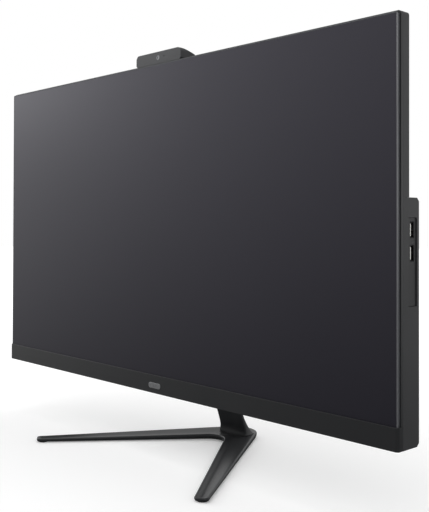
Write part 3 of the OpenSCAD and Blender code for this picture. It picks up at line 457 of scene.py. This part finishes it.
# ---------------------------------------------------------------------------
# Feet
# Three soft nitrile discs pressed into the casting. The large one under the heel
# has two holes for the neck screws.
# ---------------------------------------------------------------------------
def soften(node, piece, width, segments=3, sharp=28.0):
    """A new piece with the shape of a CAD node and every sharp edge rounded to width mm."""
    bm = bmesh.new()
    bm.from_mesh(nodes[node].data)
    bmesh.ops.remove_doubles(bm, verts=bm.verts, dist=0.003 * mm)
    bmesh.ops.dissolve_limit(
        bm,
        angle_limit=radians(0.6),
        use_dissolve_boundaries=False,
        verts=bm.verts,
        edges=bm.edges,
    )
    bm.verts.index_update()
    mesh = bpy.data.meshes.new(piece)
    mesh.from_pydata([v.co.copy() for v in bm.verts], [], [[v.index for v in f.verts] for f in bm.faces])
    bm.free()
    obj = settle(piece, mesh, sharp)
    rounding = obj.modifiers.new("rounded_edges", "BEVEL")
    rounding.width = width * mm
    rounding.segments = segments
    rounding.limit_method = "ANGLE"
    rounding.angle_limit = radians(sharp)
    rounding.use_clamp_overlap = True
    rounding.harden_normals = True
    return obj


# Nitrile rubber is dull and dusty, with a skin that breaks up every highlight.
nitrile = finish("black_nitrile_rubber", ("#0e0e0f", "#17171a"), 0.8, 0.03, (0.72, 0.86), specular=0.35)
fit_out(soften("rubber_feet", "rubber_foot_pads", 0.35), "stand", nitrile, "rubber", "rubber_feet")


# ---------------------------------------------------------------------------
# Fasteners
# Zinc-plated steel screws with recessed hexagon sockets: two hold the neck to the
# base, four the yoke to the neck, four the bracket, eight the rear cover.
# ---------------------------------------------------------------------------
# Zinc plate is bright but cloudy, with a fine crystal mottle.
zinc_plate = finish("zinc_plated_steel", ("#86878a", "#a9abae"), 0.6, 0.0015, (0.28, 0.4), metallic=1.0)
# Black-oxide screws look like oiled charcoal.
black_oxide = finish("black_oxide_steel", ("#2e2f31", "#3b3c3f"), 0.6, 0.004, (0.34, 0.48), metallic=1.0)
for node, piece, body, steel in (
    ("base_screws", "neck_fixing_screws", "stand", zinc_plate),
    ("yoke_screws", "yoke_fixing_screws", "stand", black_oxide),
    ("hinge_screws", "bracket_fixing_screws", "display", black_oxide),
    ("cover_screws", "cover_fixing_screws", "display", black_oxide),
):
    fit_out(soften(node, piece, 0.15, 2), body, steel, "screw_steel", node)


# ---------------------------------------------------------------------------
# Tilt hinge
# A cast yoke on the neck turns on a ground steel pin between the two ears of a
# pressed steel bracket. Spring washers on the pin hold the tilt by friction.
# ---------------------------------------------------------------------------
# Pressed steel under black electrocoat keeps a little of its rolling grain.
coated_steel = finish(
    "black_electrocoat_on_steel", ("#1d1e20", "#27282b"), 0.9, 0.006, (0.36, 0.48), stretch=(0.2, 1, 1)
)
# A ground pin shows fine rings round its axis.
ground_steel = finish(
    "ground_steel", ("#8b8c8f", "#b2b3b6"), 0.35, 0.003, (0.16, 0.28), metallic=1.0, stretch=(1, 0.1, 0.1)
)
# Phosphor bronze is a warm dull gold.
bronze = finish("phosphor_bronze", ("#7a5a38", "#96744c"), 0.5, 0.003, (0.3, 0.45), metallic=1.0)
fit_out(soften("hinge_yoke", "yoke_casting", 0.7), "stand", powder_coat, "painted_cast_metal", "hinge_yoke")
bracket_pressing = soften("hinge_bracket", "bracket_pressing", 0.5)
fit_out(bracket_pressing, "display", coated_steel, "hinge_steel", "hinge_bracket")
fit_out(soften("hinge_pin", "tilt_pin", 0.6), "display", ground_steel, "hinge_steel", "hinge_pin")
fit_out(soften("friction_washers", "spring_washers", 0.2), "display", bronze, "hinge_steel", "friction_washers")


# ---------------------------------------------------------------------------
# Screen
# A liquid-crystal panel: bonded glass with a matt polariser film, a pale moulded
# rim round it, and behind it an acrylic light guide, its lamps and a metal tray.
# ---------------------------------------------------------------------------
# The switched-off panel is a violet black. Its film is matt, so it takes only wide soft reflections.
# The real texture of the film is some 0.02 mm, and it is drawn at 0.5 mm to show at all.
polariser = finish(
    "matt_polariser_film", ("#131218", "#16151b"), 0.5, 0.0015, (0.3, 0.34), specular=0.55, blotch=160.0
)
# Its coating gives the reflections themselves a violet cast.
polariser.node_tree.nodes["Principled BSDF"].inputs["Specular Tint"].default_value = linear("#f0edff")
fit_out(soften("lcd_cell", "screen_glass", 0.25), "display", polariser, "panel_glass", "lcd_cell")
# The rim is polycarbonate with a soft sheen. Its front slopes in to the glass, so the upright on the right
# faces the window and draws a bright line, while the top one faces the floor and stays dark.
rim_plastic = finish(
    "grey_moulded_polycarbonate", ("#4a4b4e", "#525356"), 1.2, 0.002, (0.2, 0.26), specular=0.7
)
rim_low, rim_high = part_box("panel_rim")
glass_low, glass_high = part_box("lcd_cell")
RIM_CORNER_R = 2 * mm
RIM_PROFILE = [
    # share of the way from the rim's outline to the glass, and millimetres behind the rim's CAD front
    (0.0, (rim_high.y - rim_low.y) / mm),
    (0.0, 0.3),
    (0.0, 0.12),
    (0.04, -0.02),
    (0.1, -0.1),
    (0.18, -0.1),
    (1.0, 0.2),
    (1.0, (rim_high.y - rim_low.y) / mm),
]


def rim_ring(share, behind):
    """One rounded rectangle of the rim, that share of the way from its outline to the edge of the glass."""
    low = rim_low.lerp(glass_low, share)
    high = rim_high.lerp(glass_high, share)
    corner_r = RIM_CORNER_R * (1 - 0.9 * share)
    ring = []
    for x, z, start in (
        (high.x - corner_r, low.z + corner_r, -pi / 2),
        (high.x - corner_r, high.z - corner_r, 0.0),
        (low.x + corner_r, high.z - corner_r, pi / 2),
        (low.x + corner_r, low.z + corner_r, pi),
    ):
        for i in range(CORNER_STEPS + 1):
            a = start + pi / 2 * i / CORNER_STEPS
            ring.append((x + corner_r * cos(a), rim_low.y + behind * mm, z + corner_r * sin(a)))
    return ring


rim_rings = [rim_ring(share, behind) for share, behind in RIM_PROFILE]
screen_rim = join_rings("screen_rim", rim_rings + rim_rings[:1], ends=False)
fit_out(screen_rim, "display", rim_plastic, "panel_rim_plastic", "panel_rim")


# ---------------------------------------------------------------------------
# Case
# Moulded ABS: a middle frame with the thin dark lip round the screen, a plain bar
# below it, and two rear covers that clip and screw to the frame.
# ---------------------------------------------------------------------------
# The visible lip and bar have a satin finish with a very fine grain.
satin_abs = finish("satin_moulded_abs", ("#1b1c1e", "#212224"), 0.7, 0.006, (0.42, 0.5), specular=0.4)
# The covers come from a spark-eroded mould. The real grain is about 0.1 mm, drawn at 0.6 mm to show.
grained_abs = finish("spark_grained_abs", ("#202123", "#292a2c"), 0.6, 0.02, (0.5, 0.62), specular=0.5)
fit_out(soften("mid_frame", "middle_frame", 0.22), "display", satin_abs, "frame_plastic", "mid_frame")
# The bar is a shade darker and slightly smoother than the lip above it.
smooth_abs = finish("smooth_moulded_abs", ("#17181a", "#1c1d1f"), 0.7, 0.004, (0.34, 0.4), specular=0.5)
fit_out(soften("chin_bezel", "lower_bar", 0.25), "display", smooth_abs, "chin_plastic", "chin_bezel")
fit_out(soften("upper_cover", "thin_rear_cover", 0.7), "display", grained_abs, "cover_plastic", "upper_cover")
fit_out(soften("rear_cover", "deep_rear_cover", 0.5), "display", grained_abs, "cover_plastic", "rear_cover")

# Brushed nickel catches the light in fine level strokes.
brushed_nickel = finish(
    "brushed_nickel", ("#9c9d9f", "#aaabad"), 0.3, 0.0008, (0.26, 0.34), metallic=1.0, stretch=(0.04, 1, 1)
)
fit_out(soften("chin_badge", "blank_badge", 0.15), "display", brushed_nickel, "badge_metal", "chin_badge")


# ---------------------------------------------------------------------------
# Grilles and lock plate
# Two exhaust grilles in the step above the deep cover, two intake grilles in its
# back, moulded black, and a small steel plate behind the slot for a cable lock.
# ---------------------------------------------------------------------------
# The grilles are unpainted black nylon, duller than the case round them.
black_nylon = finish("black_glass_filled_nylon", ("#121213", "#1a1b1c"), 0.5, 0.015, (0.55, 0.68))
# Nickel plate is warm, bright and cloudy.
nickel_plate = finish("nickel_plated_steel", ("#9b9a95", "#acaba6"), 0.9, 0.0007, (0.3, 0.4), metallic=1.0)
for node, piece, material, slot in (
    ("exhaust_grille", "exhaust_vents", black_nylon, "grille_plastic"),
    ("intake_grille", "intake_vents", black_nylon, "grille_plastic"),
    ("lock_plate", "lock_slot_plate", nickel_plate, "port_metal"),
):
    fit_out(soften(node, piece, 0.2, 2), "display", material, slot, node)


# ---------------------------------------------------------------------------
# Side sockets
# A moulded plate sunk in the case's right side, with two nickel-plated sockets
# whose white tongues carry four gilt contacts each, soldered to a small board.
# ---------------------------------------------------------------------------
def boxes(name, corners):
    """One mesh object of separate boxes, each given by its lowest and highest corner in metres."""
    points = []
    faces = []
    for low, high in corners:
        at = len(points)
        for x in (low[0], high[0]):
            for y in (low[1], high[1]):
                for z in (low[2], high[2]):
                    points.append((x, y, z))
        for face in ((0, 1, 3, 2), (4, 6, 7, 5), (0, 4, 5, 1), (2, 3, 7, 6), (0, 2, 6, 4), (1, 5, 7, 3)):
            faces.append(tuple(at + i for i in face))
    mesh = bpy.data.meshes.new(name)
    mesh.from_pydata(points, [], faces)
    obj = settle(name, mesh)
    rounding = obj.modifiers.new("rounded_edges", "BEVEL")
    rounding.width = 0.06 * mm
    rounding.segments = 2
    return obj


def loose_parts(node):
    """The boxes round the separate solids of a CAD node, lowest and highest corners, in order of x then z."""
    bm = bmesh.new()
    bm.from_mesh(nodes[node].data)
    bmesh.ops.remove_doubles(bm, verts=bm.verts, dist=0.003 * mm)
    found = []
    waiting = set(bm.verts)
    while waiting:
        group = [waiting.pop()]
        for vert in group:
            for edge in vert.link_edges:
                other = edge.other_vert(vert)
                if other in waiting:
                    waiting.remove(other)
                    group.append(other)
        places = [nodes[node].matrix_world @ v.co for v in group]
        low = Vector([min(p[i] for p in places) for i in range(3)])
        high = Vector([max(p[i] for p in places) for i in range(3)])
        found.append((low, high))
    bm.free()
    return sorted(found, key=lambda box: (round(box[0].x, 4), round(box[0].z, 4)))


# The sunk plate has the case's own spark grain, painted a shade darker as painted shade for its recess.
recess_shaded_abs = finish("spark_grained_abs_painted_recess_shade", ("#1b1c1e", "#232426"), 0.6, 0.02, (0.5, 0.6))
# White tongues are glass-filled polyester, dense and slightly creamy.
white_polyester = finish("white_filled_polyester", ("#e2e1dc", "#efeeea"), 0.5, 0.004, (0.4, 0.5))
# Thin gold over nickel keeps the drawn lines of the strip.
gilt = finish(
    "gold_plated_contact", ("#b8893a", "#d6a957"), 0.3, 0.002, (0.2, 0.3), metallic=1.0, stretch=(0.2, 1, 1)
)
# The side sockets' shells are nickel-plated steel painted dark and glossy, as painted shade for the shadowed
# insides of the sockets.
socket_shade_nickel = finish(
    "nickel_plated_steel_painted_socket_shade", ("#2a2a2c", "#3a3a3c"), 0.9, 0.0008, (0.24, 0.34), metallic=1.0
)
# Green solder mask over copper tracks: the tracks stand 0.03 mm proud and read as paler lines.
solder_mask = finish("green_solder_mask", ("#123a22", "#235a38"), 1.6, 0.03, (0.25, 0.4), stretch=(1, 1, 0.25))
CONTACTS = 4
CONTACT_W = 1.0 * mm
CONTACT_RISE = 0.12 * mm
CONTACT_SINK = 0.02 * mm
CONTACT_START = 9 * mm
CONTACT_END = 1 * mm
for node, piece, width, material, slot in (
    ("side_port_plate", "side_socket_plate", 0.3, recess_shaded_abs, "grille_plastic"),
    ("side_usb_shells", "side_socket_shells", 0.12, socket_shade_nickel, "port_metal"),
    ("side_usb_tongues", "side_socket_tongues", 0.15, white_polyester, "tongue_white"),
    ("side_usb_board", "side_socket_board", 0.08, solder_mask, "circuit_board"),
):
    fit_out(soften(node, piece, width, 2), "display", material, slot, node)

strips = []
for low, high in loose_parts("side_usb_tongues"):
    pitch = (high.z - low.z) / CONTACTS
    for i in range(CONTACTS):
        middle_z = low.z + pitch * (i + 0.5)
        strips.append(
            (
                (high.x - CONTACT_START, high.y - CONTACT_SINK, middle_z - CONTACT_W / 2),
                (high.x - CONTACT_END, high.y + CONTACT_RISE, middle_z + CONTACT_W / 2),
            )
        )
fit_out(boxes("side_socket_contacts", strips), "display", gilt, "port_metal")


# ---------------------------------------------------------------------------
# Rear sockets
# A nickel-plated plate sunk in the back with four socket shells, a network socket,
# a video socket, a round power socket and a headphone socket behind it.
# ---------------------------------------------------------------------------
# Black tongues and bodies are the same polyester, filled with carbon.
black_polyester = finish("black_filled_polyester", ("#0f0f10", "#17181a"), 0.5, 0.004, (0.38, 0.48))
for node, piece, width, material, slot in (
    ("rear_port_plate", "rear_socket_plate", 0.25, nickel_plate, "port_metal"),
    ("rear_usb_shells", "rear_socket_shells", 0.12, nickel_plate, "port_metal"),
    ("rear_usb_tongues", "rear_socket_tongues", 0.15, black_polyester, "tongue_black"),
    ("network_socket", "network_socket_body", 0.2, nickel_plate, "port_metal"),
    ("video_socket", "video_socket_body", 0.12, nickel_plate, "port_metal"),
    ("power_socket", "power_socket_body", 0.15, black_polyester, "tongue_black"),
    ("audio_socket", "audio_socket_body", 0.15, black_polyester, "tongue_black"),
):
    fit_out(soften(node, piece, width, 2), "display", material, slot, node)

strips = []
for low, high in loose_parts("rear_usb_tongues"):
    pitch = (high.x - low.x) / CONTACTS
    for i in range(CONTACTS):
        middle_x = low.x + pitch * (i + 0.5)
        strips.append(
            (
                (middle_x - CONTACT_W / 2, high.y - CONTACT_START, high.z - CONTACT_SINK),
                (middle_x + CONTACT_W / 2, high.y - CONTACT_END, high.z + CONTACT_RISE),
            )
        )
# Eight sprung wires rise from the bottom of the network socket.
network_low, network_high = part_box("network_socket")
NETWORK_WIRES = 8
WIRE_PITCH = 1.02 * mm
WIRE_W = 0.4 * mm
WIRE_TOP = 4.0 * mm
WIRE_BACK = 12 * mm
WIRE_FRONT = 5 * mm
network_middle = (network_low.x + network_high.x) / 2
for i in range(NETWORK_WIRES):
    at = network_middle + (i - (NETWORK_WIRES - 1) / 2) * WIRE_PITCH
    strips.append(
        (
            (at - WIRE_W / 2, network_high.y - WIRE_BACK, network_high.z - WIRE_TOP - WIRE_W),
            (at + WIRE_W / 2, network_high.y - WIRE_FRONT, network_high.z - WIRE_TOP),
        )
    )
fit_out(boxes("rear_socket_contacts", strips), "display", gilt, "port_metal")


# ---------------------------------------------------------------------------
# Inside the screen
# Behind the glass: a clear light guide, the strip of lamps under it, the rolled
# aluminium tray that holds them, and the long thin timing board.
# ---------------------------------------------------------------------------
# The light guide is clear acrylic with fine printed dots, which make it look faintly milky.
acrylic = finish("dotted_clear_acrylic", ("#dfe1e2", "#f2f3f4"), 0.8, 0.004, (0.08, 0.16))
acrylic.node_tree.nodes["Principled BSDF"].inputs["Transmission Weight"].default_value = 0.7
# The lamp strip is white laminate with a row of yellow phosphor.
lamp_white = finish(
    "phosphor_white_laminate", ("#d9d3a4", "#efeedd"), 3.0, 0.02, (0.4, 0.55), stretch=(1, 1, 0.2)
)
# Rolled aluminium shows long level lines.
rolled_aluminium = finish(
    "rolled_aluminium", ("#8f9194", "#b3b5b8"), 0.6, 0.004, (0.3, 0.42), metallic=1.0, stretch=(0.05, 1, 1)
)
for node, piece, width, material, slot in (
    ("light_guide", "acrylic_light_guide", 0.2, acrylic, "clear_acrylic"),
    ("led_bar", "lamp_strip", 0.1, lamp_white, "led_strip"),
    ("panel_tray", "aluminium_tray", 0.2, rolled_aluminium, "tray_aluminium"),
    ("timing_board", "timing_laminate", 0.08, solder_mask, "circuit_board"),
):
    fit_out(soften(node, piece, width, 2), "display", material, slot, node)


# ---------------------------------------------------------------------------
# Computer
# A galvanised steel plate carries the main board on brass standoffs. A copper cold
# plate and heat pipe take the processor's heat to aluminium fins over the fan.
# ---------------------------------------------------------------------------
# Galvanised steel has spangles about 8 mm across.
galvanised = finish("galvanised_steel", ("#8b8d90", "#b4b6b8"), 8.0, 0.01, (0.28, 0.48), metallic=1.0)
# Turned brass is yellow with fine rings.
brass = finish("turned_brass", ("#9a7c3c", "#bf9f58"), 0.4, 0.003, (0.2, 0.32), metallic=1.0)
# Copper is tarnished slightly unevenly where it was soldered.
copper = finish("bright_copper", ("#9c5a38", "#c07a52"), 0.6, 0.004, (0.2, 0.36), metallic=1.0, blotch=14.0)
# Moulded epoxy is matt charcoal with a sugary grain.
epoxy = finish("moulded_black_epoxy", ("#161617", "#1f2021"), 0.3, 0.006, (0.5, 0.62))
# The drive and the fins are plain mill-finished aluminium, matt from blasting on the drive.
mill_aluminium = finish(
    "mill_finished_aluminium", ("#a4a6a9", "#c3c5c8"), 0.4, 0.003, (0.25, 0.38), metallic=1.0
)
blasted_aluminium = finish("blasted_aluminium", ("#77797c", "#8f9194"), 0.5, 0.02, (0.45, 0.58), metallic=1.0)
# Injection-moulded fan plastic is smooth black polybutylene with faint flow marks.
fan_plastic = finish(
    "black_polybutylene", ("#141415", "#1b1c1d"), 1.4, 0.006, (0.35, 0.48), stretch=(1, 1, 0.4)
)
# Speaker boxes are black ABS with a fine grain.
speaker_abs = finish("black_speaker_abs", ("#101011", "#171819"), 0.6, 0.015, (0.5, 0.62))
for node, piece, width, material, slot in (
    ("chassis_plate", "steel_chassis", 0.25, galvanised, "chassis_steel"),
    ("main_board", "main_board_laminate", 0.08, solder_mask, "circuit_board"),
    ("board_standoffs", "brass_standoffs", 0.2, brass, "copper"),
    ("processor", "processor_package", 0.15, epoxy, "chip_black"),
    ("cold_plate", "copper_cold_plate", 0.2, copper, "copper"),
    ("heat_pipe", "copper_heat_pipe", 0.3, copper, "copper"),
    ("fin_stack", "aluminium_fins", 0.06, mill_aluminium, "fin_aluminium"),
    ("fan_housing", "fan_case", 0.3, fan_plastic, "fan_plastic"),
    ("memory_modules", "memory_boards", 0.08, solder_mask, "circuit_board"),
    ("solid_state_drive", "flash_drive_board", 0.08, solder_mask, "circuit_board"),
    ("wireless_card", "wireless_board", 0.08, solder_mask, "circuit_board"),
    ("coin_cell", "lithium_coin_cell", 0.25, nickel_plate, "port_metal"),
    ("disk_drive", "disk_drive_case", 0.6, blasted_aluminium, "drive_metal"),
    ("drive_caddy", "drive_cradle", 0.25, galvanised, "chassis_steel"),
    ("speakers", "speaker_boxes", 0.6, speaker_abs, "speaker_plastic"),
):
    fit_out(soften(node, piece, width, 2), "display", material, slot, node)

# Memory and flash chips in moulded epoxy, lined up on their boards.
CHIP_SINK = 0.05 * mm
CHIP_ABOVE_MIDDLE = 2 * mm
chips = []
for node, count, chip_w, chip_h, rise in (
    ("memory_modules", 4, 11 * mm, 9 * mm, 0.9 * mm),
    ("solid_state_drive", 1, 16 * mm, 14 * mm, 0.9 * mm),
    ("wireless_card", 1, 12 * mm, 12 * mm, 1.1 * mm),
):
    low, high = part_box(node)
    pitch = (high.x - low.x) / count
    for i in range(count):
        x = low.x + pitch * (i + 0.5)
        z = (low.z + high.z) / 2 + CHIP_ABOVE_MIDDLE
        chips.append(
            (
                (x - chip_w / 2, high.y - CHIP_SINK, z - chip_h / 2),
                (x + chip_w / 2, high.y + rise, z + chip_h / 2),
            )
        )
fit_out(boxes("memory_and_radio_chips", chips), "display", epoxy, "chip_black")


# ---------------------------------------------------------------------------
# Fan rotor
# A moulded black hub with thirteen blades that curve backwards, on the fan's own
# joint. It turns inside the bore of the fan case.
# ---------------------------------------------------------------------------
rotor_low, rotor_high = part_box("fan_rotor")
rotor_middle = (rotor_low + rotor_high) / 2
ROTOR_R = (rotor_high.x - rotor_low.x) / 2 - 0.3 * mm
HUB_R = 14 * mm
BLADES = 13
BLADE_T = 1.1 * mm
BLADE_SWEEP = radians(28)
rotor_hub = soften("fan_rotor", "rotor_hub", 0.4, 2)
bm = bmesh.new()
bm.from_mesh(rotor_hub.data)
# Only the hub of the CAD rotor is kept: its straight blades give way to the curved ones.
beyond = []
for vert in bm.verts:
    if Vector((vert.co.x - rotor_middle.x, vert.co.z - rotor_middle.z)).length > HUB_R + 0.5 * mm:
        beyond.append(vert)
bmesh.ops.delete(bm, geom=beyond, context="VERTS")
bmesh.ops.holes_fill(bm, edges=bm.edges, sides=0)
bm.to_mesh(rotor_hub.data)
bm.free()
fit_out(rotor_hub, "fan", fan_plastic, "fan_plastic", "fan_rotor")

BLADE_STEPS = 8
blade_points = []
blade_faces = []
BLADE_TAPER = 0.45
BLADE_CURVE = 1.4
BLADE_FRONT_GAP = 1.2 * mm
BLADE_BACK_GAP = 1.6 * mm
BLADE_ROOT_R = HUB_R - 0.6 * mm
blade_front = rotor_low.y + BLADE_FRONT_GAP
blade_back = rotor_high.y - BLADE_BACK_GAP
for b in range(BLADES):
    start = 2 * pi * b / BLADES
    at = len(blade_points)
    for i in range(BLADE_STEPS + 1):
        share = i / BLADE_STEPS
        radius = BLADE_ROOT_R + (ROTOR_R - BLADE_ROOT_R) * share
        turn = start + BLADE_SWEEP * share**BLADE_CURVE
        half_turn = BLADE_T * (1 - BLADE_TAPER * share) / 2 / radius
        for y in (blade_front, blade_back):
            for side in (-half_turn, half_turn):
                x = rotor_middle.x + radius * cos(turn + side)
                z = rotor_middle.z + radius * sin(turn + side)
                blade_points.append((x, y, z))
    for i in range(BLADE_STEPS):
        a = at + 4 * i
        c = a + 4
        for near, far in ((0, 1), (1, 3), (3, 2), (2, 0)):
            blade_faces.append((a + near, a + far, c + far, c + near))
    blade_faces.append((at, at + 2, at + 3, at + 1))
    end = at + 4 * BLADE_STEPS
    blade_faces.append((end, end + 1, end + 3, end + 2))
blade_mesh = bpy.data.meshes.new("rotor_blades")
blade_mesh.from_pydata(blade_points, [], blade_faces)
fit_out(settle("rotor_blades", blade_mesh), "fan", fan_plastic, "fan_plastic")


# ---------------------------------------------------------------------------
# Power button
# A moulded key under the case's right end, with a small switch on a steel spring
# arm above it.
# ---------------------------------------------------------------------------
# The key is satin polycarbonate, a little paler than the case.
button_plastic = finish("satin_polycarbonate", ("#313236", "#3b3c40"), 0.7, 0.005, (0.34, 0.44))
fit_out(soften("power_button", "power_key", 0.3), "button", button_plastic, "button_plastic", "power_button")
fit_out(soften("power_switch", "tactile_switch", 0.12, 2), "display", epoxy, "chip_black", "power_switch")


# ---------------------------------------------------------------------------
# Pop-up camera
# A grey moulded head that slides up out of the case on a flat stem, with a round
# lens in a painted ring and a tiny microphone hole.
# ---------------------------------------------------------------------------
# The head's front is a paler grey than the case, satin with a fine grain.
camera_grey = finish("grey_moulded_camera_front", ("#2a2b2e", "#343538"), 0.5, 0.006, (0.4, 0.5))
camera_black = finish("dark_moulded_camera_shell", ("#1b1c1e", "#222326"), 0.5, 0.01, (0.42, 0.52))
# The lens ring is painted in fine silver flake.
silver_paint = finish("silver_flake_paint", ("#77797c", "#939598"), 0.25, 0.003, (0.42, 0.55), metallic=0.4)
for node, piece, width, material, slot in (
    ("camera_head", "camera_shell", 0.5, camera_black, "camera_plastic"),
    ("camera_front", "camera_face", 0.3, camera_grey, "camera_window"),
    ("camera_lens", "camera_lens_ring", 0.12, silver_paint, "lens_ring"),
    ("camera_board", "camera_laminate", 0.08, solder_mask, "circuit_board"),
    ("camera_stem", "camera_slide", 0.3, satin_abs, "frame_plastic"),
):
    fit_out(soften(node, piece, width), "camera", material, slot, node)
fit_out(soften("camera_guide", "camera_rails", 0.3), "display", satin_abs, "frame_plastic", "camera_guide")
